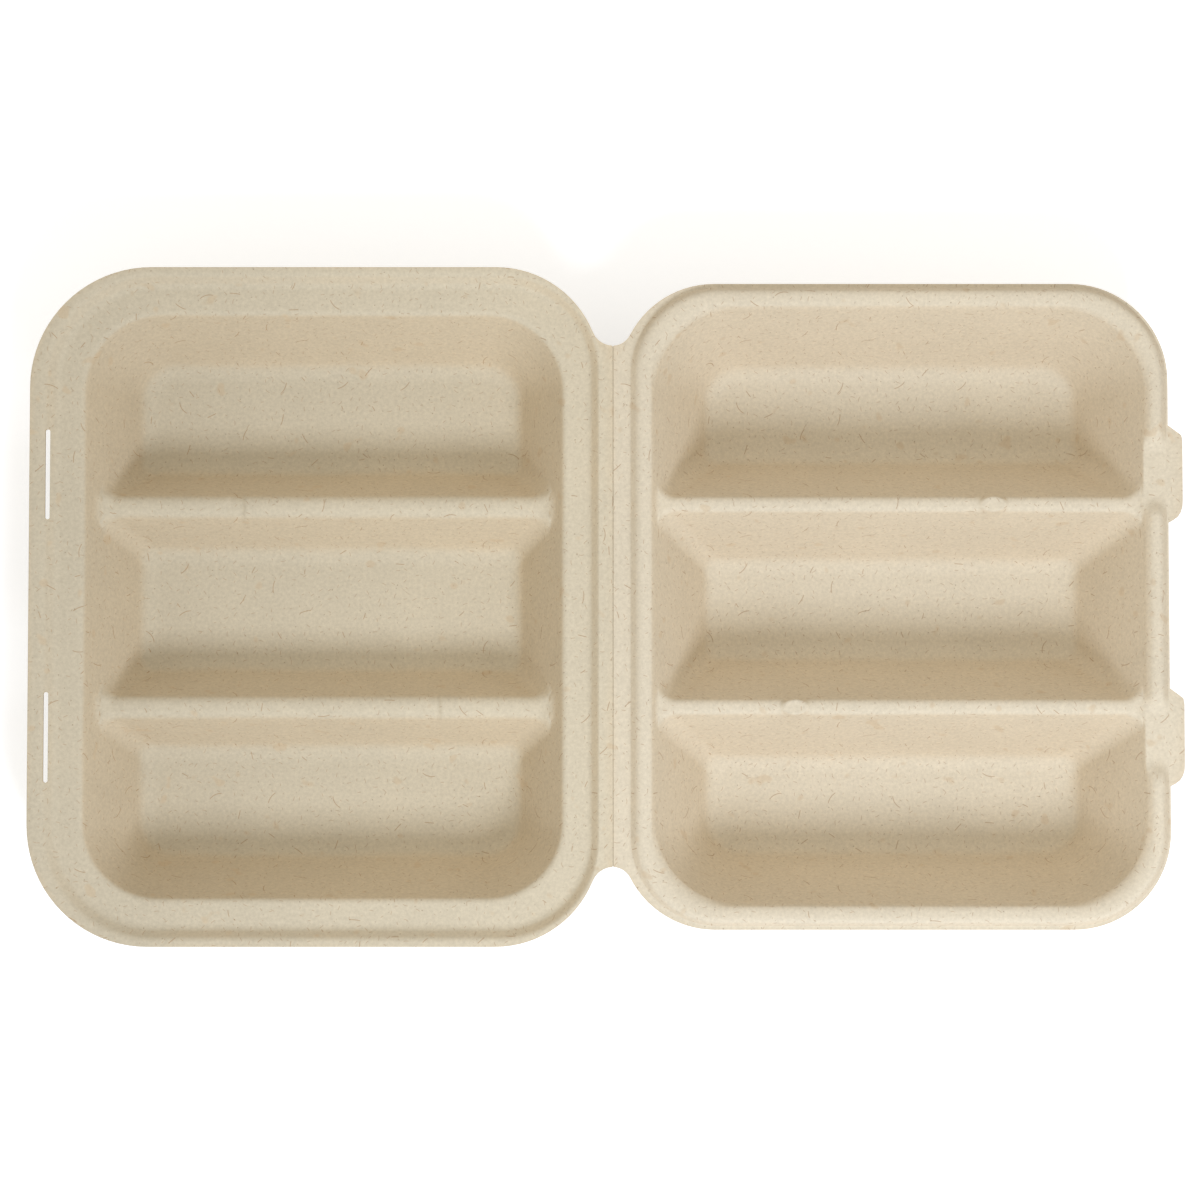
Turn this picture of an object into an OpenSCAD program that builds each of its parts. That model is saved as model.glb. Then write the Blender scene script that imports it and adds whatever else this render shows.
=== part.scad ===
// Three-trough taco clamshell pressed from moulded fibre, shown open and flat.
// +Z is up and the table is at zero. The crease between the halves runs along Y.
// Each half is drawn on the +X side of the crease, and the base is then mirrored.

/* [Sheet] */
// Thickness of the pressed fibre sheet
sheet = 1.0; // [0.8:0.1:1.4]
// Depth of the trough floors below the rim, the same in both halves
depth = 36; // [32:1:44]
// Slope of every trough wall, from the table
wall_slope = 66; // [62:1:72]

/* [Base] */
// Base from the crease to its outer edge
base_w = 185.9; // [180:0.5:192]
// Base along the crease
base_l = 216.4; // [212:0.5:224]
// Radius of the outer corners of the base
base_corner = 38.5; // [34:0.5:42]
// Radius of the base corners beside the hinge
base_hinge_corner = 33.4; // [30:0.5:36]
// Flat lip round the base, on the three free sides
lip_w = 3.4; // [2.5:0.1:4]
// Width of the slope between the lip and the seat of the lid
seat_slope_w = 4.2; // [3.6:0.1:5]
// Depth of the seat that takes the bead of the lid
seat_depth = 3.5; // [2.5:0.1:4]
// Width of the flat seat on the sides and the outer end
seat_w = 7.3; // [6:0.1:9]
// Width of the flat seat beside the hinge
hinge_seat_w = 6.6; // [5:0.1:8]
// Depth of the divider crests in the base below the rim
base_crest_depth = 12; // [8:0.5:16]
// Radius of the divider crests in the base
base_crest_r = 4.0; // [3:0.1:4.4]

/* [Lid] */
// Lid from the crease to the outer edge of its bead
lid_w = 176.9; // [172:0.5:178]
// Lid along the crease
lid_l = 205.6; // [202:0.5:207]
// Radius of the outer corners of the lid
lid_corner = 31; // [28:0.5:34]
// Radius of the lid corners beside the hinge
lid_hinge_corner = 30.2; // [28:0.5:32]
// Thin edge outside the bead
edge_w = 0.7; // [0.5:0.1:1]
// Width of the outer slope of the bead
bead_slope_w = 3.6; // [3:0.1:4]
// Sideways room between the nested bead and the slope of the seat
nest_gap = 0.3; // [0.2:0.05:1]
// Width of the flat on top of the bead
bead_w = 3.0; // [2:0.1:4]
// Depth of the divider crests in the lid below the rim
lid_crest_depth = 1; // [0.5:0.5:4]
// Radius of the divider crests in the lid
lid_crest_r = 2.6; // [2:0.1:3]

/* [Troughs] */
// Distance of the divider crests from the middle of the part
divider_y = 32.3; // [30:0.1:34]
// Radius between the trough walls and the floors
floor_fillet = 4; // [3:0.5:6]
// Radius of the floor corners in plan
floor_corner = 5.5; // [5:0.5:8]
// How fast a corner beside a divider widens upwards, where 1 is as fast as the outer corners
divider_corner_growth = 0; // [0:0.05:1]

/* [Divider marks] */
// Distance of the mark on the back dividers from the crease
back_mark_u = 121.3; // [110:0.5:130]
// Distance of the mark on the front dividers from the crease
front_mark_u = 58; // [50:0.5:70]
// Length of the dip in each divider of the base
dip_l = 5; // [3:0.5:8]
// Depth of that dip
dip_depth = 0.8; // [0.4:0.1:1.2]
// Length of the nub on each divider of the lid
nub_l = 7.6; // [5:0.2:9]
// Width of that nub
nub_w = 4.6; // [3:0.2:5]
// Height of that nub over the divider crest
nub_h = 0.6; // [0.3:0.1:1]

/* [Hinge] */
// Length of the hinge strip along the crease
hinge_l = 166; // [160:1:170]
// Strip on each side of the crease
strip_w = 5.0; // [4.6:0.1:5.4]
// Slit left along the crease between the two halves
crease_gap = 0.3; // [0.2:0.05:0.5]

/* [Lock tabs] */
// Distance of each tab and slot from the middle of the part
tab_y = 41.9; // [38:0.1:44]
// Reach of a tab beyond the edge of the lid
tab_reach = 4.6; // [4:0.1:5]
// Length of a tab at its root
tab_root_l = 31.2; // [30:0.2:33]
// Length of a tab at its tip
tab_tip_l = 23.4; // [20:0.2:26]
// Length of the flat channel through the bead behind a tab
channel_l = 14.6; // [12:0.2:18]
// Run of the slopes at both ends of that channel
channel_slope_l = 6.7; // [5:0.1:8]
// Length of a lock slot in the base
slot_l = 28.8; // [26:0.2:32]
// Width of a lock slot
slot_w = 1.4; // [1:0.1:1.8]
// Distance of a lock slot from the outer edge of the base
slot_inset = 5.6; // [5.2:0.1:6]

/* [Hidden] */
// Steps in each rounded corner in plan and in each fillet of the sheet
corner_steps = 8;
arc_steps = 3;
round_fn = 64;
// How far a cut runs on past the face that it opens
overlap = 1;
// Levels, with the rim of both halves at zero
floor_z = -depth;
seat_z = -seat_depth;
bead_z = seat_depth;
rim_z = depth + sheet;
// Half of the narrow flat left on top of each divider
crest_flat = 0.4;
// How far a nub reaches down into its divider
nub_root = 1.3;
// The outer end of the base has a wider lip and seat than its sides
end_extra = 1.0;
// The corners by the hinge reach a little over the strip
base_hinge_overhang = 1.1;
lid_hinge_overhang = 2.9;
// How far a wall moves sideways for each millimetre of height
wall_run = 1 / tan(wall_slope);
// Inset of the floor fillet centre from the wall's place at the rim, and the plan radius there
fillet_inset = (depth - floor_fillet * (1 - cos(wall_slope))) * wall_run + floor_fillet * sin(wall_slope);
rim_corner = floor_corner + fillet_inset;
// Middle of the whole part across the crease, which is put at X zero
part_mid_x = (lid_w + tab_reach - base_w) / 2;

// Rounded frames as [near the crease, far end, low Y, high Y, near radius, far radius]
base_edge = [strip_w - base_hinge_overhang, base_w, -base_l / 2, base_l / 2, base_hinge_corner, base_corner];
base_lip = [strip_w, base_w - lip_w - end_extra, base_edge[2] + lip_w, base_edge[3] - lip_w,
    base_hinge_corner - lip_w, base_corner - lip_w];
base_seat = grown(base_lip, -seat_slope_w);
base_well = [base_seat[0] + hinge_seat_w, base_seat[1] - seat_w - end_extra,
    base_seat[2] + seat_w, base_seat[3] - seat_w, well_corner(seat_z), well_corner(seat_z)];
lid_edge = [strip_w - lid_hinge_overhang, lid_w, -lid_l / 2, lid_l / 2, lid_hinge_corner, lid_corner];
lid_foot = [strip_w + seat_slope_w + nest_gap - bead_slope_w, lid_w - edge_w, lid_edge[2] + edge_w, lid_edge[3] - edge_w,
    lid_hinge_corner - edge_w, lid_corner - edge_w];
lid_bead = grown(lid_foot, -bead_slope_w);
lid_well = [lid_bead[0] + bead_w, lid_bead[1] - bead_w, lid_bead[2] + bead_w, lid_bead[3] - bead_w,
    well_corner(bead_z), well_corner(bead_z)];

function well_corner(z) = rim_corner + z * wall_run;
function grown(f, d) = [f[0] - d, f[1] + d, f[2] - d, f[3] + d, f[4] + d, f[5] + d];
// Sideways growth of the underside where the sheet bends between a flat and a slope
function bend_grow(rise, run) = sheet * tan(atan2(rise, run) / 2);

function corner_arc(u, y, r, start, steps) =
    [for (i = [0 : steps]) let (a = start + 90 * i / steps) [u + r * cos(a), y + r * sin(a)]];
function frame_points(f, steps) = corner_points(f, [f[5], f[4], f[4], f[5]], steps);
// Points of a frame with its own radius at far high, near high, near low and far low
function corner_points(f, r, steps) = concat(
    corner_arc(f[1] - r[0], f[3] - r[0], r[0], 0, steps),
    corner_arc(f[0] + r[1], f[3] - r[1], r[1], 90, steps),
    corner_arc(f[0] + r[2], f[2] + r[2], r[2], 180, steps),
    corner_arc(f[1] - r[3], f[2] + r[3], r[3], 270, steps));
function ring(f, z) = [for (p = frame_points(f, corner_steps)) [p[0], p[1], z]];

// Closed loft through rings of equal point counts, lowest ring first
module loft(rings) {
    n = len(rings[0]);
    top = len(rings) - 1;
    sides = [for (k = [0 : top - 1], i = [0 : n - 1]) let (j = (i + 1) % n, a = k * n, b = a + n)
        each [[a + i, b + i, b + j], [a + i, b + j, a + j]]];
    caps = [[for (i = [0 : n - 1]) i], [for (i = [n - 1 : -1 : 0]) top * n + i]];
    polyhedron([for (r = rings) each r], concat(sides, caps));
}

// Frame of straight walls at height z, from their frame at the rim level
function walls_at(t, z, grow) = grown(t, z * wall_run + grow / sin(wall_slope));
// Frame of the floor fillet where the sheet leans by angle b
function fillet_at(t, b, grow) = grown(t, (floor_fillet + grow) * sin(b) - fillet_inset);
// How far the crest of a divider rounds off past the straight wall
function crest_flare(r, b, grow) = r * sin(wall_slope) - (r - grow) * sin(b)
    - ((r - grow) * cos(b) - r * cos(wall_slope)) * wall_run - grow / sin(wall_slope);
function flared(f, low, high) = [f[0], f[1], f[2] - low, f[3] + high, f[4], f[5]];
// Trough corners widen with height like the well, but slower beside a divider
function divider_corner(r, grow) = floor_corner + grow + (r - grow - floor_corner) * divider_corner_growth;
function trough_ring(t, f, z, grow) =
    let (r = f[5], d = divider_corner(r, grow), low = t[6] ? d : r, high = t[7] ? d : r)
    [for (p = corner_points(f, [high, high, low, low], corner_steps)) [p[0], p[1], z]];

// One trough from its floor to the divider crest, grown for the underside of the sheet
module trough(t, crest_z, crest_r, grow) {
    top_z = crest_z - grow;
    loft(concat(
        [for (i = [0 : arc_steps]) let (b = wall_slope * i / arc_steps)
            trough_ring(t, fillet_at(t, b, grow), floor_z + floor_fillet - (floor_fillet + grow) * cos(b), grow)],
        [for (i = [arc_steps : -1 : 0]) let (
            b = wall_slope * i / arc_steps,
            z = top_z - (crest_r - grow) * (1 - cos(b)),
            flare = crest_flare(crest_r, b, grow))
            trough_ring(t, flared(walls_at(t, z, grow), t[6] * flare, t[7] * flare), z, grow)],
        [let (flare = crest_flare(crest_r, 0, grow))
            trough_ring(t, flared(walls_at(t, top_z, grow), t[6] * flare, t[7] * flare), top_z + overlap / 2, grow)]));
}

// The three troughs of a half, as rim-level frames with a mark for each side that is a divider
function divider_wall(crest_z, r) = crest_flat + r * sin(wall_slope)
    + (crest_z - r * (1 - cos(wall_slope))) * wall_run;
function trough_frames(well, well_z, crest_z, r) =
    let (w = grown(well, -well_z * wall_run), d = divider_wall(crest_z, r)) [
        [w[0], w[1], w[2], -divider_y - d, w[4], w[5], 0, 1],
        [w[0], w[1], -divider_y + d, divider_y - d, w[4], w[5], 1, 1],
        [w[0], w[1], divider_y + d, w[3], w[4], w[5], 1, 0]];

// Space above the sheet inside the well, or with grow the same space down to its underside
module troughs_and_well(well, well_z, crest_z, crest_r, grow) {
    w = grown(well, -well_z * wall_run);
    top_z = grow > 0 ? well_z - grow / 2 : well_z + overlap;
    loft([ring(walls_at(w, crest_z - grow, grow), crest_z - grow), ring(walls_at(w, top_z, grow), top_z)]);
    for (t = trough_frames(well, well_z, crest_z, crest_r)) trough(t, crest_z, crest_r, grow);
}

// The marks of a half, placed on the back and front divider crests
module on_dividers(crest_depth) {
    translate([back_mark_u, divider_y, -crest_depth]) children();
    translate([front_mark_u, -divider_y, -crest_depth]) children();
}

// Round dip across a divider crest, or with grow the same for the underside of the sheet
module divider_dip(grow) {
    r = dip_l * dip_l / (8 * dip_depth) + dip_depth / 2;
    reach = 2 * (crest_flat + base_crest_r + overlap);
    translate([0, 0, r - dip_depth]) rotate([90, 0, 0]) cylinder(h = reach, r = r + grow, center = true, $fn = round_fn);
}

// Upright block with round ends, along Y
module capsule(length, width, height) {
    straight = length - width;
    translate([-width / 2, -straight / 2, 0]) cube([width, straight, height]);
    for (end = [-1, 1]) translate([0, end * straight / 2, 0]) cylinder(h = height, d = width, $fn = round_fn);
}

// Web that joins a rounded half to its end of the hinge strip, with a round notch at the crease
module hinge_web(f) {
    centre_u = f[0] + f[4];
    centre_y = f[3] - f[4];
    rise = hinge_l / 2 - centre_y;
    notch_r = (centre_u * centre_u + rise * rise - f[4] * f[4]) / (2 * (f[4] - rise));
    difference() {
        polygon([[crease_gap / 2, 0], [centre_u, 0], [centre_u, centre_y], [crease_gap / 2, hinge_l / 2 + notch_r]]);
        translate([0, hinge_l / 2 + notch_r]) circle(notch_r, $fn = round_fn);
    }
}

module rim_plate(f) {
    translate([0, 0, -sheet]) linear_extrude(sheet) {
        polygon(frame_points(f, 2 * corner_steps));
        for (side = [0, 1]) mirror([0, side]) hinge_web(f);
        children();
    }
}

module base_half() {
    grow = bend_grow(seat_depth, seat_slope_w);
    difference() {
        union() {
            rim_plate(base_edge);
            loft([ring(grown(base_seat, grow), seat_z - sheet), ring(grown(base_lip, grow), -sheet),
                ring(grown(base_lip, grow), -sheet / 2)]);
            troughs_and_well(base_well, seat_z, -base_crest_depth, base_crest_r, sheet);
            on_dividers(base_crest_depth) divider_dip(sheet);
        }
        loft([ring(base_seat, seat_z), ring(base_lip, 0), ring(base_lip, overlap)]);
        troughs_and_well(base_well, seat_z, -base_crest_depth, base_crest_r, 0);
        on_dividers(base_crest_depth) divider_dip(0);
        for (side = [-1, 1]) translate([base_w - slot_inset, side * tab_y, -seat_depth - 2 * sheet])
            capsule(slot_l, slot_w, seat_depth + 3 * sheet);
    }
}

// Flat way through the bead behind a tab, lowered by drop for its underside
module tab_channel(drop) {
    grow = drop > 0 ? bend_grow(bead_z, channel_slope_l) : 0;
    half = channel_l / 2 + grow;
    top = bead_z + overlap;
    slope = channel_slope_l * top / bead_z;
    translate([lid_w - channel_reach(), 0, -drop]) rotate([90, 0, 90])
        linear_extrude(channel_reach() + tab_reach + overlap)
            polygon([[-half, 0], [half, 0], [half + slope, top], [-half - slope, top]]);
}
function channel_reach() = lid_w - lid_well[1] + bead_z * wall_run + sheet;

module tab_outline() {
    polygon([[lid_w - overlap, -tab_root_l / 2], [lid_w, -tab_root_l / 2], [lid_w + tab_reach, -tab_tip_l / 2],
        [lid_w + tab_reach, tab_tip_l / 2], [lid_w, tab_root_l / 2], [lid_w - overlap, tab_root_l / 2]]);
}

module lid_half() {
    grow = bend_grow(bead_z, bead_slope_w);
    difference() {
        union() {
            difference() {
                union() {
                    rim_plate(lid_edge) for (side = [-1, 1]) translate([0, side * tab_y]) tab_outline();
                    loft([ring(lid_foot, -sheet / 2), ring(lid_foot, 0), ring(lid_bead, bead_z)]);
                }
                difference() {
                    loft([ring(grown(lid_foot, -grow), -sheet - overlap), ring(grown(lid_foot, -grow), -sheet),
                        ring(grown(lid_bead, -grow), bead_z - sheet)]);
                    for (side = [-1, 1]) translate([0, side * tab_y, 0]) tab_channel(sheet);
                }
            }
            troughs_and_well(lid_well, bead_z, -lid_crest_depth, lid_crest_r, sheet);
        }
        troughs_and_well(lid_well, bead_z, -lid_crest_depth, lid_crest_r, 0);
        for (side = [-1, 1]) translate([0, side * tab_y, 0]) tab_channel(0);
    }
    on_dividers(lid_crest_depth) translate([0, 0, -nub_root]) rotate([0, 0, 90]) capsule(nub_l, nub_w, nub_root + nub_h);
}

module base() {
    color("tan") translate([-part_mid_x, 0, rim_z]) mirror([1, 0, 0]) base_half();
}

module lid() {
    color("wheat") translate([-part_mid_x, 0, rim_z]) lid_half();
}

base();
lid();
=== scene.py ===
import math

import bmesh
import bpy
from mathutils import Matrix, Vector


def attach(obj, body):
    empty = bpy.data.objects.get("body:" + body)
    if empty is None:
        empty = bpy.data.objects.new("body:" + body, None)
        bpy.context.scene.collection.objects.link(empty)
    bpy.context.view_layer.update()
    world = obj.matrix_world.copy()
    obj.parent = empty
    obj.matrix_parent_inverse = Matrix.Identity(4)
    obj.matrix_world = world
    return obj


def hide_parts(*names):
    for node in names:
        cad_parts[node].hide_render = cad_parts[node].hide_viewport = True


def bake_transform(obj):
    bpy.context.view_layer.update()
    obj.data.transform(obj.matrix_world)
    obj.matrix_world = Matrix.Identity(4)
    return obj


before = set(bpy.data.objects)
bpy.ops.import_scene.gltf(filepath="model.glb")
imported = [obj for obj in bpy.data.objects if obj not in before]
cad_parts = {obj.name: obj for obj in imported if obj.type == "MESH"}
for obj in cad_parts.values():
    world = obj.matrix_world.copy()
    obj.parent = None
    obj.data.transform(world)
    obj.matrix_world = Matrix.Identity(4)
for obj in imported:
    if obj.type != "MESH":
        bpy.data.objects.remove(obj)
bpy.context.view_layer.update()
print("frame loaded")

mm = 0.001

# The view of the photograph: from the front, nearly straight down
cameraView = {
    "lens": 94.35,
    "sensor": 36.0,
    "distance": 1.0,
    "elevation": 87.4,
    "target": (-0.0019, 0.0017, 0.037),
    "clip": (0.01, 10.0),
}

# The pressed sheet in millimetres, with the rim at height zero and u running out from the crease
sheet = {
    "thickness": 1.0,
    "depth": 36.0,
    "wallSlope": math.radians(67.5),
    "dividerY": 32.3,
    "floorFillet": 8.0,
    "floorCorner": 5.5,
    "crestFlat": 0.4,
    "halfGap": 0.2,
    "hingeLength": 166.0,
}

# How finely the sheet is meshed: counts, and lengths in millimetres
mesh = {
    "cornerSteps": 20,
    "roundSteps": 6,
    "roundShare": 0.49,
    "wallRows": 3,
    "longCut": 3.0,
    # From the well's ends to the first of the cuts along a trough
    "longMargin": 34.0,
    "markCut": 0.7,
    "markReach": 1.2,
    "sideCuts": 17,
    "crestCuts": 9,
    "slotSides": 24,
    "level": 1e-4,
    "touching": 1e-3,
    "weld": 0.01,
    "smoothAngle": math.radians(75),
}


# Frames are [near the crease, far end, low y, high y, near radius, far radius]
def shifted(f, ends, sides):
    return [f[0] - ends, f[1] + ends, f[2] - sides, f[3] + sides, f[4] + sides, f[5] + sides]


def mixed(a, b, t):
    return [p + (q - p) * t for p, q in zip(a, b)]


def smoothStep(t):
    t = min(max(t, 0.0), 1.0)
    return t * t * (3 - 2 * t)


# How far a side wall moves sideways for each millimetre of height
wallRun = 1 / math.tan(sheet["wallSlope"])


def floorInset(slope):
    # From the wall's place at the rim to the floor
    fillet = sheet["floorFillet"]
    return (sheet["depth"] - fillet * (1 - math.cos(slope))) / math.tan(slope) + fillet * math.sin(slope)


def wallsAt(f, z, endSlope):
    return shifted(f, z / math.tan(endSlope), z * wallRun)


def filletLevel(b):
    return sheet["floorFillet"] * (1 - math.cos(b)) - sheet["depth"]


def filletAt(f, b, endSlope):
    # Where the floor's fillet leans by the angle b
    shifts = []
    for slope in (endSlope, sheet["wallSlope"]):
        curved = sheet["floorFillet"] * math.sin(b) - floorInset(slope)
        shifts.append(curved if b < slope else filletLevel(b) / math.tan(slope))
    return shifted(f, *shifts)


def wellCorner(z):
    return sheet["floorCorner"] + floorInset(sheet["wallSlope"]) + z * wallRun


# Heights at which the two wells are measured
seatZ = -3.5
wellTopZ = 3.5

# The frames of each half's profile, from its outer edge to its well, with their heights.
# Each ...Round is how far that corner's rounding reaches along the faces beside it.
baseShape = {
    "edge": [3.9, 185.9, -108.2, 108.2, 33.4, 38.5],
    "lip": [4.6, 181.5, -105.8, 105.8, 31.2, 35.2],
    "seat": [7.4, 177.4, -102.4, 102.4, 28.0, 32.0],
    "well": [15.8, 169.0, -93.3, 93.3, wellCorner(seatZ), wellCorner(seatZ)],
    "wellZ": seatZ,
    "endSlope": math.radians(64.5),
    "crestZ": -12.0,
    "crestRadius": 4.0,
    "endFillet": 7.0,
    "wallLevels": (-11.0, -10.0, -9.0, -8.0),
    "lipRound": 1.4,
    "seatRound": 1.6,
    "wallRound": 1.8,
    "marks": [(121.3, 1), (58.0, -1)],
    "markHeight": -0.9,
    "markLength": 5.0,
    "markWidth": 12.0,
    "slotLength": 28.8,
    "slotWidth": 1.4,
    "slotPlace": (180.3, 41.9),
    "slotDepth": 16.0,
}
lidShape = {
    "edge": [2.1, 176.9, -102.8, 102.8, 30.2, 31.0],
    "foot": [5.4, 176.4, -101.6, 101.6, 28.0, 30.2],
    "bead": [8.2, 173.8, -100.2, 100.2, 26.4, 28.0],
    "brim": [12.0, 171.2, -95.7, 95.7, 23.0, 25.0],
    "well": [11.9, 170.8, -95.5, 95.5, wellCorner(wellTopZ), wellCorner(wellTopZ)],
    "endSlope": math.radians(63.3),
    "beadZ": 3.4,
    "brimZ": 2.8,
    "wellZ": wellTopZ,
    "crestZ": -1.0,
    "crestRadius": 2.6,
    "endFillet": 3.6,
    "wallLevels": (-0.3, 0.3, 0.9),
    "footRound": 0.5,
    "beadRound": 2.1,
    "brimRound": 1.9,
    "marks": [(121.3, 1), (58.0, -1)],
    "markHeight": 1.0,
    "markLength": 8.2,
    "markWidth": 5.2,
    "tabPlace": 41.9,
    "tabRoot": 31.2,
    "tabReach": 4.6,
    # How far out from the lid's edge, and how far in from the nearer end of the tab's root
    "tabLow": [(0, 0), (1.2, 0.6), (3.4, 2.2), (4.4, 4.4)],
    "tabHigh": [(4.2, 3.1), (0, 0)],
    "tabStraight": (7.0, 3.6),
    "channel": 14.6,
    "channelSlope": 6.7,
    "channelStart": 3.0,
}
partMid = (lidShape["edge"][1] + lidShape["tabReach"] - baseShape["edge"][1]) / 2
rimZ = sheet["depth"] + sheet["thickness"]


def arcPoints(u, y, r, start):
    steps = mesh["cornerSteps"]
    turns = [math.radians(start + 90 * i / steps) for i in range(steps + 1)]
    return [(u + r * math.cos(a), y + r * math.sin(a)) for a in turns]


def lengthCuts(shape):
    # Places along a trough's long sides, closer together beside the marks in the dividers
    low, high = shape["well"][0] + mesh["longMargin"], shape["well"][1] - mesh["longMargin"]
    count = round((high - low) / mesh["longCut"])
    cuts = [low + (high - low) * i / count for i in range(count + 1)]
    reach = mesh["markReach"] * shape["markLength"]
    for u, _ in shape["marks"]:
        cuts = [c for c in cuts if abs(c - u) > reach]
        steps = round(2 * reach / mesh["markCut"])
        cuts += [u - reach + 2 * reach * i / steps for i in range(steps + 1)]
    return sorted(cuts)


def ringPoints(f, radii, cuts):
    # Counter-clockwise from the far end of the high side
    high = arcPoints(f[1] - radii[0], f[3] - radii[0], radii[0], 0)
    high += [(u, f[3]) for u in reversed(cuts)]
    high += arcPoints(f[0] + radii[1], f[3] - radii[1], radii[1], 90)
    low = arcPoints(f[0] + radii[2], f[2] + radii[2], radii[2], 180)
    low += [(u, f[2]) for u in cuts]
    low += arcPoints(f[1] - radii[3], f[2] + radii[3], radii[3], 270)
    shares = [(i + 1) / (mesh["sideCuts"] + 1) for i in range(mesh["sideCuts"])]
    near = [mixed(high[-1], low[0], t) for t in shares]
    far = [mixed(low[-1], high[0], t) for t in shares]
    return high + near + low + far


def troughFrames(shape):
    # Each trough's walls carried on to the rim's level, and on which sides it has a divider
    w = wallsAt(shape["well"], -shape["wellZ"], shape["endSlope"])
    r = shape["crestRadius"]
    start = shape["crestZ"] - r * (1 - math.cos(sheet["wallSlope"]))
    d = sheet["crestFlat"] + r * math.sin(sheet["wallSlope"]) + start * wallRun
    y = sheet["dividerY"]
    return [
        (w[:2] + [w[2], -y - d] + w[4:], (0, 1)),
        (w[:2] + [-y + d, y - d] + w[4:], (1, 1)),
        (w[:2] + [y + d, w[3]] + w[4:], (1, 0)),
    ]


def troughRings(shape, t, dividers):
    # From the floor up: the fillet, the wall, and the half of the crest that the trough ends in
    slope, r = sheet["wallSlope"], shape["crestRadius"]
    leans = [slope * i / mesh["roundSteps"] for i in range(mesh["roundSteps"] + 1)]
    cuts = lengthCuts(shape)
    ends = shape["endSlope"]
    rings = []

    def add(f, z):
        low, high = [sheet["floorCorner"] if d else f[5] for d in dividers]
        rings.append((ringPoints(f, [high, high, low, low], cuts), z))

    for b in leans:
        add(filletAt(t, b, ends), filletLevel(b))
    low = rings[-1][1]
    top = shape["crestZ"] - r * (1 - math.cos(slope))
    for i in range(mesh["wallRows"]):
        z = low + (top - low) * (i + 1) / (mesh["wallRows"] + 1)
        add(wallsAt(t, z, ends), z)
    for b in reversed(leans):
        z = shape["crestZ"] - r * (1 - math.cos(b))
        flare = r * (math.sin(slope) - math.sin(b)) - r * (math.cos(b) - math.cos(slope)) * wallRun
        f = wallsAt(t, z, ends)
        add(f[:2] + [f[2] - dividers[0] * flare, f[3] + dividers[1] * flare] + f[4:], z)
    return rings


def moved(u, y, f, g):
    # The same place on the outline of frame g as (u, y) has on that of frame f
    far, high = u > (f[0] + f[1]) / 2, y > 0
    r, s = (f[5], g[5]) if far else (f[4], g[4])
    side, end = (1 if far else -1), (1 if high else -1)
    # How far the place lies beyond the centre of its corner
    a = (u - (f[1] - r if far else f[0] + r)) * side
    b = (y - (f[3] - r if high else f[2] + r)) * end
    if min(a, b) > -mesh["level"]:
        turn = math.atan2(b, a)
        return (
            (g[1] - s if far else g[0] + s) + side * s * math.cos(turn),
            (g[3] - s if high else g[2] + s) + end * s * math.sin(turn),
        )
    if b < 0 and a > r - mesh["weld"]:
        share = (y - f[2] - r) / (f[3] - f[2] - 2 * r)
        return (g[1] if far else g[0]), g[2] + s + share * (g[3] - g[2] - 2 * s)
    share = (u - f[0] - f[4]) / (f[1] - f[0] - f[4] - f[5])
    return g[0] + g[4] + share * (g[1] - g[0] - g[4] - g[5]), (g[3] if high else g[2])


def roundedProfile(corners):
    # Frames with their height, from corner to corner of the profile, with the corners rounded off
    rings = []
    for i, (f, z, reach) in enumerate(corners):
        here = f + [z]
        if reach == 0:
            rings.append(here)
            continue
        ends = []
        for g, w, _ in (corners[i - 1], corners[i + 1]):
            there = g + [w]
            length = math.hypot(there[3] - here[3], there[6] - here[6])
            ends.append(mixed(here, there, min(mesh["roundShare"], reach / length)))
        for k in range(mesh["roundSteps"] + 1):
            t = k / mesh["roundSteps"]
            rings.append(mixed(mixed(ends[0], here, t), mixed(here, ends[1], t), t))
    return rings


def selectEdges(bm, test):
    bpy.ops.mesh.select_all(action="DESELECT")
    for e in bm.edges:
        if test(e):
            e.select_set(True)


def layers(bm):
    return [bm.verts.layers.int[name] for name in ("place", "trough", "top")]


def makeTroughs(name, shape):
    # Each trough starts as its floor and is extruded ring by ring up to the crest of the dividers
    frames = troughFrames(shape)
    count = len(troughRings(shape, *frames[0])[0][0])
    bpy.ops.object.select_all(action="DESELECT")
    bpy.ops.mesh.primitive_circle_add(vertices=count, radius=1, fill_type="NGON")
    half = bpy.context.active_object
    half.name = half.data.name = name
    for layer in ("place", "trough", "top"):
        half.data.attributes.new(layer, "INT", "POINT")
    bpy.ops.object.mode_set(mode="EDIT")
    for k, (t, dividers) in enumerate(frames):
        if k:
            bpy.ops.mesh.select_all(action="DESELECT")
            bpy.ops.mesh.primitive_circle_add(vertices=count, radius=1, fill_type="NGON")
        bm = bmesh.from_edit_mesh(half.data)
        place, trough, top = layers(bm)
        for v in bm.verts:
            if v.select:
                v[place] = round(math.atan2(-v.co.x, v.co.y) * count / (2 * math.pi)) % count
                v[trough] = k + 1
        rings = troughRings(shape, t, dividers)
        for n, (points, z) in enumerate(rings):
            if n:
                selectEdges(bm, lambda e: e.is_boundary and e.verts[0][trough] == k + 1)
                bpy.ops.mesh.extrude_edges_move()
                bm = bmesh.from_edit_mesh(half.data)
                place, trough, top = layers(bm)
            for v in bm.verts:
                if v.select:
                    v.co = (*points[v[place]], z)
                    v[top] = int(n == len(rings) - 1)
    return half


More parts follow.
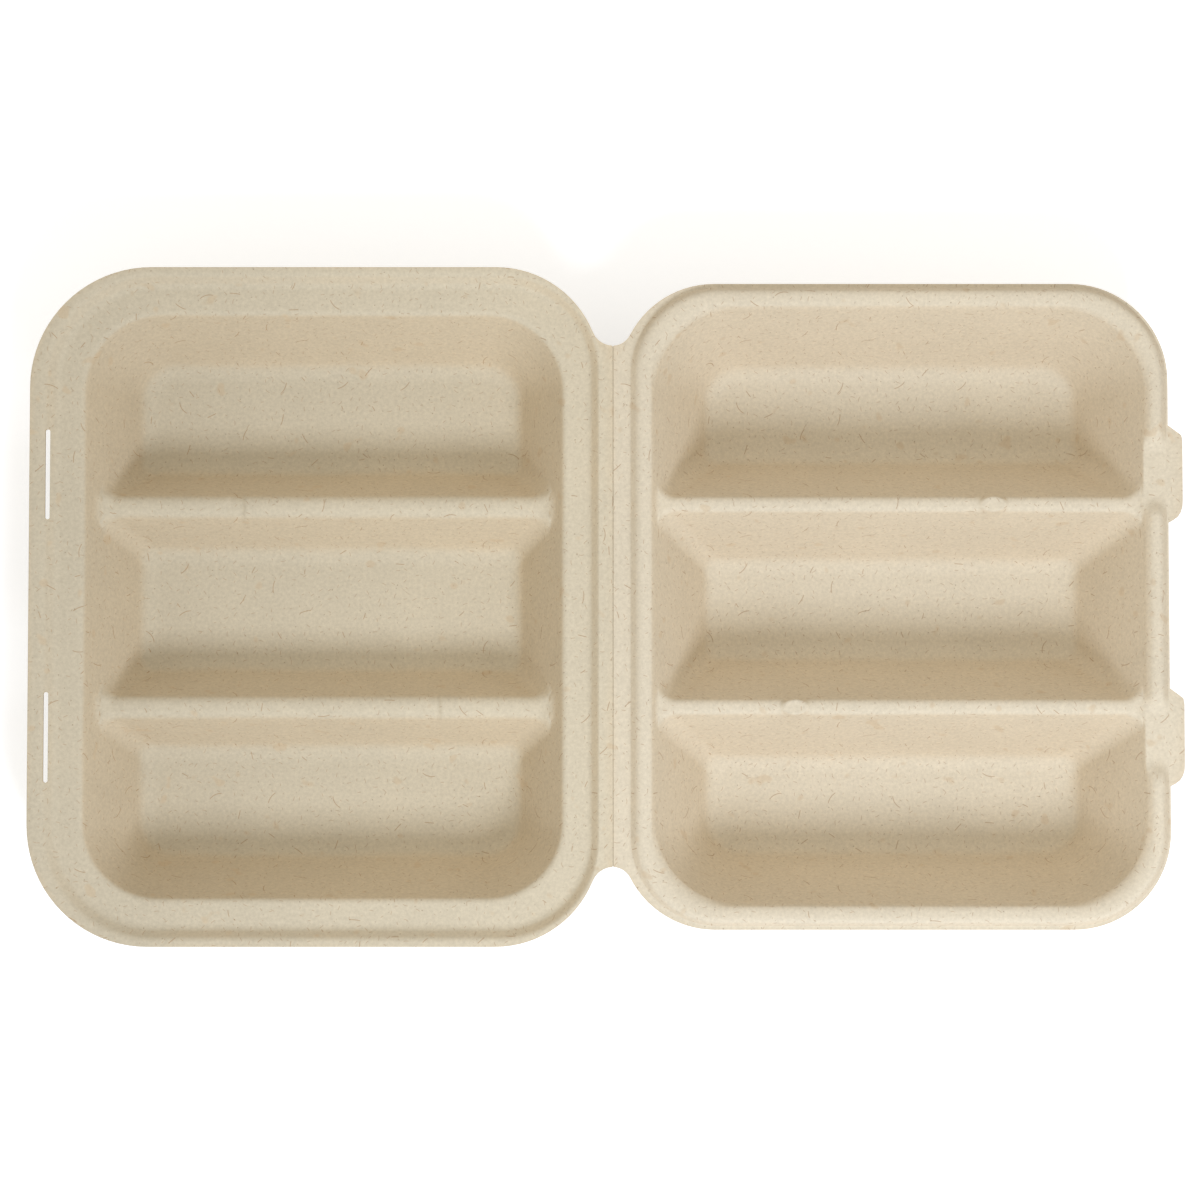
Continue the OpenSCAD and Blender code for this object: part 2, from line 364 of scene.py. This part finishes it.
def bridgeDividers(half, shape):
    # Joins the halves of each crest
    bm = bmesh.from_edit_mesh(half.data)
    side = 2 * (mesh["cornerSteps"] + 1) + len(lengthCuts(shape))
    lowStart = side + mesh["sideCuts"]
    for k in (1, 2):
        place, trough, top = layers(bm)

        def onCrest(v):
            if v[trough] == k:
                return v[top] and v[place] < side
            return v[top] and v[trough] == k + 1 and lowStart <= v[place] < lowStart + side

        selectEdges(bm, lambda e: e.is_boundary and onCrest(e.verts[0]) and onCrest(e.verts[1])
                    and abs(e.verts[0].co.x - e.verts[1].co.x) > mesh["touching"])
        bpy.ops.mesh.bridge_edge_loops(number_cuts=mesh["crestCuts"], interpolation="LINEAR")
        bm = bmesh.from_edit_mesh(half.data)


def extrudeRim(half, shape, profile):
    # The outer loop goes out through the wall, the rim's slopes and the lip
    bm = bmesh.from_edit_mesh(half.data)
    old = wallsAt(shape["well"], shape["crestZ"] - shape["wellZ"], shape["endSlope"])
    for ring in profile:
        selectEdges(bm, lambda e: e.is_boundary)
        bpy.ops.mesh.extrude_edges_move()
        bm = bmesh.from_edit_mesh(half.data)
        for v in bm.verts:
            if v.select:
                v.co = (*moved(v.co.x, v.co.y, old, ring), ring[6])
        old = ring


def extrudeHinge(half, f):
    # The near side runs on to the crease, and a round notch joins its ends to the corners
    bm = bmesh.from_edit_mesh(half.data)
    cu, cy = f[0] + f[4], f[3] - f[4]
    rise = sheet["hingeLength"] / 2 - cy
    notch = (cu * cu + rise * rise - f[4] * f[4]) / (2 * (f[4] - rise))
    # Angle on the corner, up from the near side, at which the notch touches it
    touch = math.atan2(rise + notch, cu)
    step = math.pi / 2 / mesh["cornerSteps"]
    last = round(touch / step)

    def cornerPlace(v):
        if v.co.x > cu or not v.is_boundary:
            return math.inf
        b = abs(v.co.y) - cy
        return 0 if b <= mesh["level"] else round(math.atan2(b, cu - v.co.x) / step)

    for v in bm.verts:
        if cornerPlace(v) == last:
            v.co.x = cu - f[4] * math.cos(touch)
            v.co.y = math.copysign(cy + f[4] * math.sin(touch), v.co.y)
    selectEdges(bm, lambda e: e.is_boundary and max(cornerPlace(v) for v in e.verts) <= last)
    places = {v.co.copy().freeze(): cornerPlace(v) for v in bm.verts if v.select}
    bpy.ops.mesh.extrude_edges_move()
    bm = bmesh.from_edit_mesh(half.data)
    centre = sheet["hingeLength"] / 2 + notch
    opening = math.atan2(cu, rise + notch)
    for v in bm.verts:
        if v.select:
            n = places[v.co.copy().freeze()]
            if n == 0:
                v.co.x = sheet["halfGap"]
                v.co.y *= sheet["hingeLength"] / 2 / cy
            else:
                turn = opening * n / last
                v.co.x = max(sheet["halfGap"], notch * math.sin(turn))
                v.co.y = math.copysign(centre - notch * math.cos(turn), v.co.y)
    bpy.ops.mesh.select_all(action="SELECT")
    bpy.ops.mesh.remove_doubles(threshold=mesh["weld"])


def upperWall(s):
    # The walls above the crests, with the rings that the fillets at the dividers' ends need
    levels = (s["crestZ"], *s["wallLevels"])
    return [(wallsAt(s["well"], z - s["wellZ"], s["endSlope"]), z, 0) for z in levels]


def baseProfile():
    s = baseShape
    seat = s["wellZ"]
    return roundedProfile([
        *upperWall(s),
        (s["well"], seat, s["wallRound"]),
        (s["seat"], seat, s["seatRound"]),
        (s["lip"], 0.0, s["lipRound"]),
        (s["edge"], 0.0, 0),
    ])[1:]


def lidProfile():
    s = lidShape
    return roundedProfile([
        *upperWall(s),
        (s["brim"], s["brimZ"], s["brimRound"]),
        (s["bead"], s["beadZ"], s["beadRound"]),
        (s["foot"], 0.0, s["footRound"]),
        (s["edge"], 0.0, 0),
    ])[1:]


# The marks and end fillets of the dividers' crests, each fading into the sheet around it.
# The mark's fade and edge are shares of its half size, and the rest is in millimetres.
crest = {
    "markFade": 0.4,
    "markEdge": 1.25,
    "markDepth": 3.0,
    "filletHalf": 6.4,
    "filletFade": 4.0,
    "filletDepth": 4.0,
    # How far off the end wall a place may lie and still count as on it
    "slack": 0.3,
}


def markDividers(half, shape):
    # A short dip in each divider of the base, and a flat oval nub on each of the lid
    bm = bmesh.from_edit_mesh(half.data)
    for v in bm.verts:
        for u, side in shape["marks"]:
            along = (v.co.x - u) / (shape["markLength"] / 2)
            across = (v.co.y - side * sheet["dividerY"]) / (shape["markWidth"] / 2)
            share = smoothStep((crest["markEdge"] - math.hypot(along, across)) / crest["markFade"])
            if v.co.z < shape["crestZ"] - crest["markDepth"] or share == 0:
                continue
            if shape["markHeight"] > 0:
                v.co.z += share * (shape["crestZ"] + shape["markHeight"] - v.co.z)
            else:
                v.co.z += share * shape["markHeight"]


def filletDividers(half, shape):
    # Rounds off the inner corner where each crest meets the end walls
    bm = bmesh.from_edit_mesh(half.data)
    slope, r = shape["endSlope"], shape["endFillet"]
    wall = wallsAt(shape["well"], shape["crestZ"] - shape["wellZ"], slope)
    reach = r * math.tan(slope / 2)
    for v in bm.verts:
        side = 1 if v.co.x > (wall[0] + wall[1]) / 2 else -1
        end = (v.co.x - wall[1]) if side > 0 else (wall[0] - v.co.x)
        across = abs(abs(v.co.y) - sheet["dividerY"])
        rise = v.co.z - shape["crestZ"]
        above = rise > crest["slack"]
        astray = above and abs(end - rise / math.tan(slope)) >= crest["slack"]
        # How far along the crest or up the wall the place lies from the corner
        along = rise / math.sin(slope) if above else end
        if astray or abs(along) > reach or across > crest["filletHalf"] or rise < -crest["filletDepth"]:
            continue
        turn = slope / 2 * (1 + along / reach)
        share = smoothStep((crest["filletHalf"] - across) / crest["filletFade"])
        share *= smoothStep(1 + min(rise, 0) / crest["filletDepth"])
        v.co.x += side * share * (r * math.sin(turn) - reach - end)
        v.co.z += share * (r * (1 - math.cos(turn)) - max(rise, 0))


def finishHalf(half, mirrored):
    # From the half's own millimetres to the part's frame, and then its thickness
    bpy.ops.mesh.select_all(action="SELECT")
    bpy.ops.mesh.normals_make_consistent(inside=False)
    bm = bmesh.from_edit_mesh(half.data)
    if min(bm.faces, key=lambda f: f.calc_center_median().z).normal.z < 0:
        bpy.ops.mesh.flip_normals()
    for v in bm.verts:
        v.co = Vector((v.co.x - partMid, v.co.y, v.co.z + rimZ)) * mm
        if mirrored:
            v.co.x = -v.co.x - 2 * partMid * mm
    if mirrored:
        bpy.ops.mesh.flip_normals()
    bpy.ops.object.mode_set(mode="OBJECT")
    wall = half.modifiers.new("wall", "SOLIDIFY")
    wall.thickness = sheet["thickness"] * mm
    wall.offset = -1
    wall.use_even_offset = True
    bpy.ops.object.modifier_apply(modifier=wall.name)
    bpy.ops.object.mode_set(mode="EDIT")
    bpy.ops.mesh.select_all(action="SELECT")
    bpy.ops.uv.cube_project(cube_size=1)
    bpy.ops.object.mode_set(mode="OBJECT")
    bpy.ops.object.shade_smooth_by_angle(angle=mesh["smoothAngle"])


def tabOutline(share):
    # Walks along the outline of a tab, rounded at its low end and chamfered at its high end
    s = lidShape
    half = s["tabRoot"] / 2
    low, high = s["tabStraight"]
    corners = [(out, -half + along) for out, along in s["tabLow"]]
    corners += [(s["tabReach"], -half + low), (s["tabReach"], half - high)]
    corners += [(out, half - along) for out, along in s["tabHigh"]]
    lengths = [math.dist(p, q) for p, q in zip(corners, corners[1:])]
    left = share * sum(lengths)
    for p, q, length in zip(corners, corners[1:], lengths):
        if left <= length:
            return mixed(p, q, left / length)
        left -= length
    return corners[-1]


def extrudeTabs(half):
    s = lidShape
    near = mesh["touching"]
    for side in (-1, 1):
        bm = bmesh.from_edit_mesh(half.data)
        low = side * s["tabPlace"] - s["tabRoot"] / 2
        high = low + s["tabRoot"]
        onSide = [v for v in bm.verts if v.is_boundary and abs(v.co.x - s["edge"][1]) < near]
        for end in (low, high):
            min(onSide, key=lambda v: abs(v.co.y - end)).co.y = end
        selectEdges(bm, lambda e: e.is_boundary and all(
            v.co.x > s["edge"][1] - near and low - near <= v.co.y <= high + near for v in e.verts))
        bpy.ops.mesh.extrude_edges_move()
        bm = bmesh.from_edit_mesh(half.data)
        row = sorted((v for v in bm.verts if v.select), key=lambda v: v.co.y)
        for i, v in enumerate(row):
            reach, y = tabOutline(i / (len(row) - 1))
            v.co.x += reach
            v.co.y = side * s["tabPlace"] + y
    bpy.ops.mesh.select_all(action="SELECT")
    bpy.ops.mesh.remove_doubles(threshold=mesh["weld"])


def sinkChannels(half):
    # The bead is flat where a tab lies behind it
    s = lidShape
    bm = bmesh.from_edit_mesh(half.data)
    for v in bm.verts:
        if v.co.x > s["well"][1] - s["channelStart"] and v.co.z > 0:
            past = abs(abs(v.co.y) - s["tabPlace"]) - s["channel"] / 2
            v.co.z *= smoothStep(past / s["channelSlope"])


def cutSlots(half):
    s = baseShape
    straight = (s["slotLength"] - s["slotWidth"]) / 2
    for side in (-1, 1):
        bpy.ops.object.select_all(action="DESELECT")
        bpy.ops.mesh.primitive_cylinder_add(
            vertices=mesh["slotSides"], radius=s["slotWidth"] / 2 * mm, depth=s["slotDepth"] * mm)
        cutter = bpy.context.active_object
        for v in cutter.data.vertices:
            v.co.y += math.copysign(straight * mm, v.co.y)
            v.co.x += (-s["slotPlace"][0] - partMid) * mm
            v.co.y += side * s["slotPlace"][1] * mm
            v.co.z += rimZ * mm
        half.select_set(True)
        bpy.context.view_layer.objects.active = half
        cut = half.modifiers.new("slot", "BOOLEAN")
        cut.object = cutter
        cut.operation = "DIFFERENCE"
        cut.solver = "EXACT"
        bpy.ops.object.modifier_apply(modifier=cut.name)
        bpy.data.objects.remove(cutter)


def makeBase():
    half = makeTroughs("baseSheet", baseShape)
    bridgeDividers(half, baseShape)
    extrudeRim(half, baseShape, baseProfile())
    markDividers(half, baseShape)
    filletDividers(half, baseShape)
    extrudeHinge(half, baseShape["edge"])
    finishHalf(half, True)
    cutSlots(half)
    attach(half, "base")
    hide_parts("base")
    print("base sheet modelled")
    return half


def makeLid():
    half = makeTroughs("lidSheet", lidShape)
    bridgeDividers(half, lidShape)
    extrudeRim(half, lidShape, lidProfile())
    markDividers(half, lidShape)
    filletDividers(half, lidShape)
    sinkChannels(half)
    extrudeTabs(half)
    extrudeHinge(half, lidShape["edge"])
    finishHalf(half, False)
    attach(half, "lid")
    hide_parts("lid")
    print("lid sheet modelled")
    return half


base = makeBase()
lid = makeLid()


creaseWeb = {
    "halfWidth": 1.2,
    "top": -0.35,
    "bottom": -0.8,
    "endGap": 0.4,
    "cuts": 11,
}


def makeCrease():
    # The pressed line along which the lid folds
    s = creaseWeb
    bpy.ops.object.select_all(action="DESELECT")
    bpy.ops.mesh.primitive_cube_add(size=1)
    web = bpy.context.active_object
    web.name = web.data.name = "creaseWeb"
    bpy.ops.object.mode_set(mode="EDIT")
    bpy.ops.mesh.select_all(action="SELECT")
    height = s["top"] - s["bottom"]
    length = sheet["hingeLength"] - s["endGap"]
    bpy.ops.transform.resize(value=(2 * s["halfWidth"] * mm, length * mm, height * mm))
    bpy.ops.transform.translate(value=(-partMid * mm, 0, (rimZ + s["bottom"] + height / 2) * mm))
    bm = bmesh.from_edit_mesh(web.data)
    selectEdges(bm, lambda e: abs(e.verts[0].co.x - e.verts[1].co.x) > 1e-6)
    bpy.ops.mesh.subdivide(number_cuts=s["cuts"])
    bpy.ops.mesh.select_all(action="SELECT")
    bpy.ops.uv.cube_project(cube_size=1)
    bpy.ops.object.mode_set(mode="OBJECT")
    side = s["halfWidth"] * mm
    middle = -partMid * mm
    middle - side
    middle + side
    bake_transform(web)
    print("crease modelled")
    return web


crease = makeCrease()


class Value:
    # A shader socket that does maths with plain operators
    def __init__(self, tree, socket):
        self.tree = tree
        self.socket = socket

    def node(self, kind, settings=None, **inputs):
        made = self.tree.nodes.new(kind)
        for key, value in (settings or {}).items():
            setattr(made, key, value)
        for key, value in inputs.items():
            place = int(key[1:]) if key[0] == "i" and key[1:].isdigit() else key.replace("_", " ")
            if isinstance(value, Value):
                self.tree.links.new(value.socket, made.inputs[place])
            else:
                made.inputs[place].default_value = value
        return made

    def take(self, made, output=0):
        return Value(self.tree, made.outputs[output])

    def maths(self, operation, *values):
        sources = {"i%d" % i: v for i, v in enumerate(values)}
        return self.take(self.node("ShaderNodeMath", {"operation": operation}, **sources))

    def __add__(self, other):
        return self.maths("ADD", self, other)

    def __radd__(self, other):
        return self.maths("ADD", other, self)

    def __sub__(self, other):
        return self.maths("SUBTRACT", self, other)

    def __rsub__(self, other):
        return self.maths("SUBTRACT", other, self)

    def __mul__(self, other):
        return self.maths("MULTIPLY", self, other)

    def __rmul__(self, other):
        return self.maths("MULTIPLY", other, self)

    def __truediv__(self, other):
        return self.maths("DIVIDE", self, other)

    def ramp(self, low, high):
        # Smoothly 0 at low and 1 at high
        settings = {"interpolation_type": "SMOOTHSTEP"}
        return self.take(self.node(
            "ShaderNodeMapRange", settings, Value=self, From_Min=low, From_Max=high))

    def larger(self, other):
        return self.maths("MAXIMUM", self, other)

    def noise(self, scale, detail=2.0, roughness=0.5, offset=0.0):
        # self is a place; the noise is about 0 to 1 with its middle at 0.5
        away = (offset, offset, offset)
        where = self.take(self.node("ShaderNodeVectorMath", {"operation": "ADD"}, i0=self, i1=away))
        return self.take(self.node(
            "ShaderNodeTexNoise", Vector=where, Scale=scale, Detail=detail, Roughness=roughness))

    def blend(self, a, b):
        # self is the share of colour b
        made = self.node("ShaderNodeMix", {"data_type": "RGBA"}, i0=self, i6=a, i7=b)
        return self.take(made, 2)


hairShape = {
    # As a share of the longest hair
    "shortest": 0.35,
    # Where the fade at a hair's sides ends, as a share of its width
    "softSide": 0.35,
    # The fade at a hair's ends, in millimetres
    "softEnd": 0.35,
    # How far the chance of a hair fades on from its limit
    "pick": 0.01,
}


def fibres(uv, cell, share, length, width, curl):
    # Short bent hairs, one in some of the cells, each at its own angle
    s = hairShape
    cellSize = 1 / (cell * mm)
    cells = uv.node("ShaderNodeTexVoronoi", {"voronoi_dimensions": "2D"}, Vector=uv, Scale=cellSize)
    lots = uv.node("ShaderNodeSeparateColor", i0=uv.take(cells, 1))
    chance, second, third = [uv.take(lots, i) for i in range(3)]
    middle = uv.take(cells, 2)
    away = uv.take(uv.node("ShaderNodeVectorMath", {"operation": "SUBTRACT"}, i0=uv, i1=middle))
    spin = {"rotation_type": "Z_AXIS"}
    turned = uv.take(uv.node("ShaderNodeVectorRotate", spin, Vector=away, Angle=second * math.tau))
    split = uv.node("ShaderNodeSeparateXYZ", i0=turned)
    along, across = uv.take(split, 0) / mm, uv.take(split, 1) / mm
    bent = across + along * along * (third - 0.5) * curl
    reach = along.maths("ABSOLUTE", along) - length * (s["shortest"] + (1 - s["shortest"]) * third)
    inside = bent.maths("ABSOLUTE", bent).ramp(width, width * s["softSide"])
    return inside * reach.ramp(0.0, -s["softEnd"]) * chance.ramp(share, share - s["pick"])


# Each half's colour is scaled between two values over a span in x, in metres: a painted light gradient,
# lighter towards the lid's side where more light falls
fibreBase = {
    "flat": (0.62, 0.56, 0.44),
    "paintedSlopeShade": (0.63, 0.54, 0.40),
    "roughness": 0.92,
    "paintedLight": (0.92, 1.06),
    "span": (-0.19, 0.0),
}
# The lid's colours are lighter than the base's as painted light, since more light falls on the lid
fibreLid = {
    "flat": (0.67, 0.605, 0.487),
    "paintedSlopeShade": (0.655, 0.57, 0.44),
    "roughness": 0.92,
    "paintedLight": (1.04, 1.06),
    "span": (0.0, 0.18),
}
# Sizes of hairs and dots are in millimetres, and the noise runs on metres
fibrePattern = {
    "fleckColour": (0.22, 0.13, 0.06, 1),
    "hairColour": (0.36, 0.20, 0.085, 1),
    "stainColour": (0.58, 0.42, 0.25, 1),
    "cloud": {"scale": 38, "detail": 4, "roughness": 0.6},
    "grain": {"scale": 900, "detail": 3, "roughness": 0.7, "offset": 0.3},
    "dents": {"scale": 260, "detail": 2, "roughness": 0.5, "offset": 0.7},
    "stains": {"scale": 170, "detail": 1, "roughness": 0.5, "offset": 1.1},
    "stainSpan": (0.68, 0.76),
    "hair": {"cell": 10.0, "share": 0.5, "length": 2.4, "width": 0.17, "curl": 0.25},
    "fine": {"cell": 3.1, "share": 0.65, "length": 1.0, "width": 0.15, "curl": 0.5},
    "dots": {"cell": 4.0, "share": 0.6, "length": 0.3, "width": 0.3, "curl": 0.0},
    "specks": {"cell": 1.7, "share": 0.5, "length": 0.2, "width": 0.22, "curl": 0.0},
    "strength": {"stains": 0.3, "hair": 0.6, "fine": 0.45, "dots": 0.7, "specks": 0.35},
    "cloudMix": 0.9,
    "cloudTone": 0.14,
    "grainTone": 0.42,
    "bump": {"Strength": 0.35, "Distance": 0.0002},
    "grainBump": 0.5,
    "hairBump": 0.4,
    "specular": 0.25,
    "steepSpan": 0.6,
}


def makeFibre(name, looks):
    # Unbleached moulded plant fibre: matt, a little cloudy, with dark flecks and short hairs, plus
    # painted shade on the slopes and a painted light gradient across each half
    p = fibrePattern
    strength = p["strength"]
    material = bpy.data.materials.new(name)
    material.use_nodes = True
    tree = material.node_tree
    shader = tree.nodes["Principled BSDF"]
    uv = Value(tree, tree.nodes.new("ShaderNodeUVMap").outputs[0])
    place = Value(tree, tree.nodes.new("ShaderNodeTexCoord").outputs["Object"])
    attribute = tree.nodes.new("ShaderNodeAttribute")
    attribute.attribute_name = "paintedSlopeShade"
    paintedSlopeShade = Value(tree, attribute.outputs["Fac"])
    cloud = place.noise(**p["cloud"]) - 0.5
    grain = place.noise(**p["grain"]) - 0.5
    # Slopes take the darker, warmer steep colour: painted shade on the walls
    slopes = (paintedSlopeShade + cloud * p["cloudMix"]).ramp(0.0, 1.0)
    colour = slopes.blend((*looks["flat"], 1), (*looks["paintedSlopeShade"], 1))
    # Painted light: the colour is scaled lighter towards the lid's side, and light also carries the
    # random cloud and grain tone
    low, high = looks["paintedLight"]
    acrossPart = uv.take(uv.node("ShaderNodeSeparateXYZ", i0=place))
    paintedLight = low + (high - low) * acrossPart.ramp(*looks["span"])
    light = paintedLight * (1 + cloud * p["cloudTone"] + grain * p["grainTone"])
    colour = uv.take(uv.node("ShaderNodeVectorMath", {"operation": "SCALE"}, i0=colour, Scale=light))
    hair, fine, dots, specks = [fibres(uv, **p[kind]) for kind in ("hair", "fine", "dots", "specks")]
    stain = place.noise(**p["stains"]).ramp(*p["stainSpan"]) * strength["stains"]
    colour = stain.blend(colour, p["stainColour"])
    faint = (hair * strength["hair"]).larger(fine * strength["fine"])
    colour = faint.blend(colour, p["hairColour"])
    dark = (dots * strength["dots"]).larger(specks * strength["specks"])
    colour = dark.blend(colour, p["fleckColour"])
    tree.links.new(colour.socket, shader.inputs["Base Color"])
    height = grain * p["grainBump"] + hair * p["hairBump"] + place.noise(**p["dents"])
    bump = uv.node("ShaderNodeBump", Height=height, **p["bump"])
    tree.links.new(bump.outputs[0], shader.inputs["Normal"])
    shader.inputs["Roughness"].default_value = looks["roughness"]
    shader.inputs["Specular IOR Level"].default_value = p["specular"]
    return material


def markSteep(half):
    # How steep each place is, for the darker, warmer colour of the slopes, which is painted shade
    paintedSlopeShade = half.data.attributes.new("paintedSlopeShade", "FLOAT", "POINT")
    for v in half.data.vertices:
        paintedSlopeShade.data[v.index].value = smoothStep((1 - abs(v.normal.z)) / fibrePattern["steepSpan"])


def dress(piece, material):
    piece.data.materials.clear()
    piece.data.materials.append(material)


baseFibre = makeFibre("baseFibre", fibreBase)
lidFibre = makeFibre("lidFibre", fibreLid)
for piece in (base, lid):
    markSteep(piece)
dress(base, baseFibre)
dress(crease, baseFibre)
dress(lid, lidFibre)
print("fibre materials made")


def makeCamera():
    data = bpy.data.cameras.new("camera")
    data.lens = cameraView["lens"]
    data.sensor_width = cameraView["sensor"]
    data.clip_start, data.clip_end = cameraView["clip"]
    camera = bpy.data.objects.new("camera", data)
    bpy.context.scene.collection.objects.link(camera)
    tilt = math.radians(cameraView["elevation"])
    away = Vector((0, -math.cos(tilt), math.sin(tilt)))
    camera.location = Vector(cameraView["target"]) + cameraView["distance"] * away
    camera.rotation_euler = (math.pi / 2 - tilt, 0, 0)
    bpy.context.scene.camera = camera


makeCamera()

stage = {
    "floorSize": 6.0,
    "floorZ": -0.0003,
    "floorColour": (0.84, 0.87, 0.93, 1),
    "floorGlow": 0.5,
    "skyColour": (1.0, 0.945, 0.84, 1),
    "skyStrength": 0.63,
    "lightAim": (0, 0, 0.03),
}
keyLight = {
    "place": (0.19, -0.62, 0.76),
    "size": 0.25,
    "watts": 5.7,
    "colour": (0.85, 0.905, 1.0),
}
backLight = {
    "place": (0.0, 0.90, 0.80),
    "size": 0.8,
    "watts": 1.3,
    "colour": (1.0, 0.84, 0.66),
}


def makeStage():
    # A white table whose camera view is lifted to plain white, with the shadow kept
    bpy.ops.object.select_all(action="DESELECT")
    bpy.ops.mesh.primitive_plane_add(size=stage["floorSize"], location=(0, 0, stage["floorZ"]))
    floor = bpy.context.active_object
    floor.name = floor.data.name = "floor"
    material = bpy.data.materials.new("whiteTable")
    material.use_nodes = True
    tree = material.node_tree
    shader = tree.nodes["Principled BSDF"]
    shader.inputs["Base Color"].default_value = stage["floorColour"]
    shader.inputs["Roughness"].default_value = 1.0
    shader.inputs["Specular IOR Level"].default_value = 0.0
    rays = Value(tree, tree.nodes.new("ShaderNodeLightPath").outputs["Is Camera Ray"])
    glow = rays.take(rays.node("ShaderNodeEmission", Strength=stage["floorGlow"]))
    lifted = rays.take(rays.node("ShaderNodeAddShader", i0=Value(tree, shader.outputs[0]), i1=glow))
    seen = rays.node("ShaderNodeMixShader", i0=rays, i1=Value(tree, shader.outputs[0]), i2=lifted)
    tree.links.new(seen.outputs[0], tree.nodes["Material Output"].inputs["Surface"])
    floor.data.materials.append(material)
    world = bpy.data.worlds.new("world")
    bpy.context.scene.world = world
    world.use_nodes = True
    sky = world.node_tree.nodes["Background"]
    sky.inputs["Color"].default_value = stage["skyColour"]
    sky.inputs["Strength"].default_value = stage["skyStrength"]


def makeLight(name, looks):
    data = bpy.data.lights.new(name, "AREA")
    data.energy = looks["watts"]
    data.size = looks["size"]
    data.color = looks["colour"]
    light = bpy.data.objects.new(name, data)
    light.location = looks["place"]
    aim = Vector(stage["lightAim"]) - light.location
    light.rotation_euler = aim.to_track_quat("-Z", "Y").to_euler()
    bpy.context.scene.collection.objects.link(light)


makeStage()
makeLight("keyLight", keyLight)
makeLight("backLight", backLight)
bpy.context.scene.view_settings.view_transform = "Standard"
print("stage and light set")
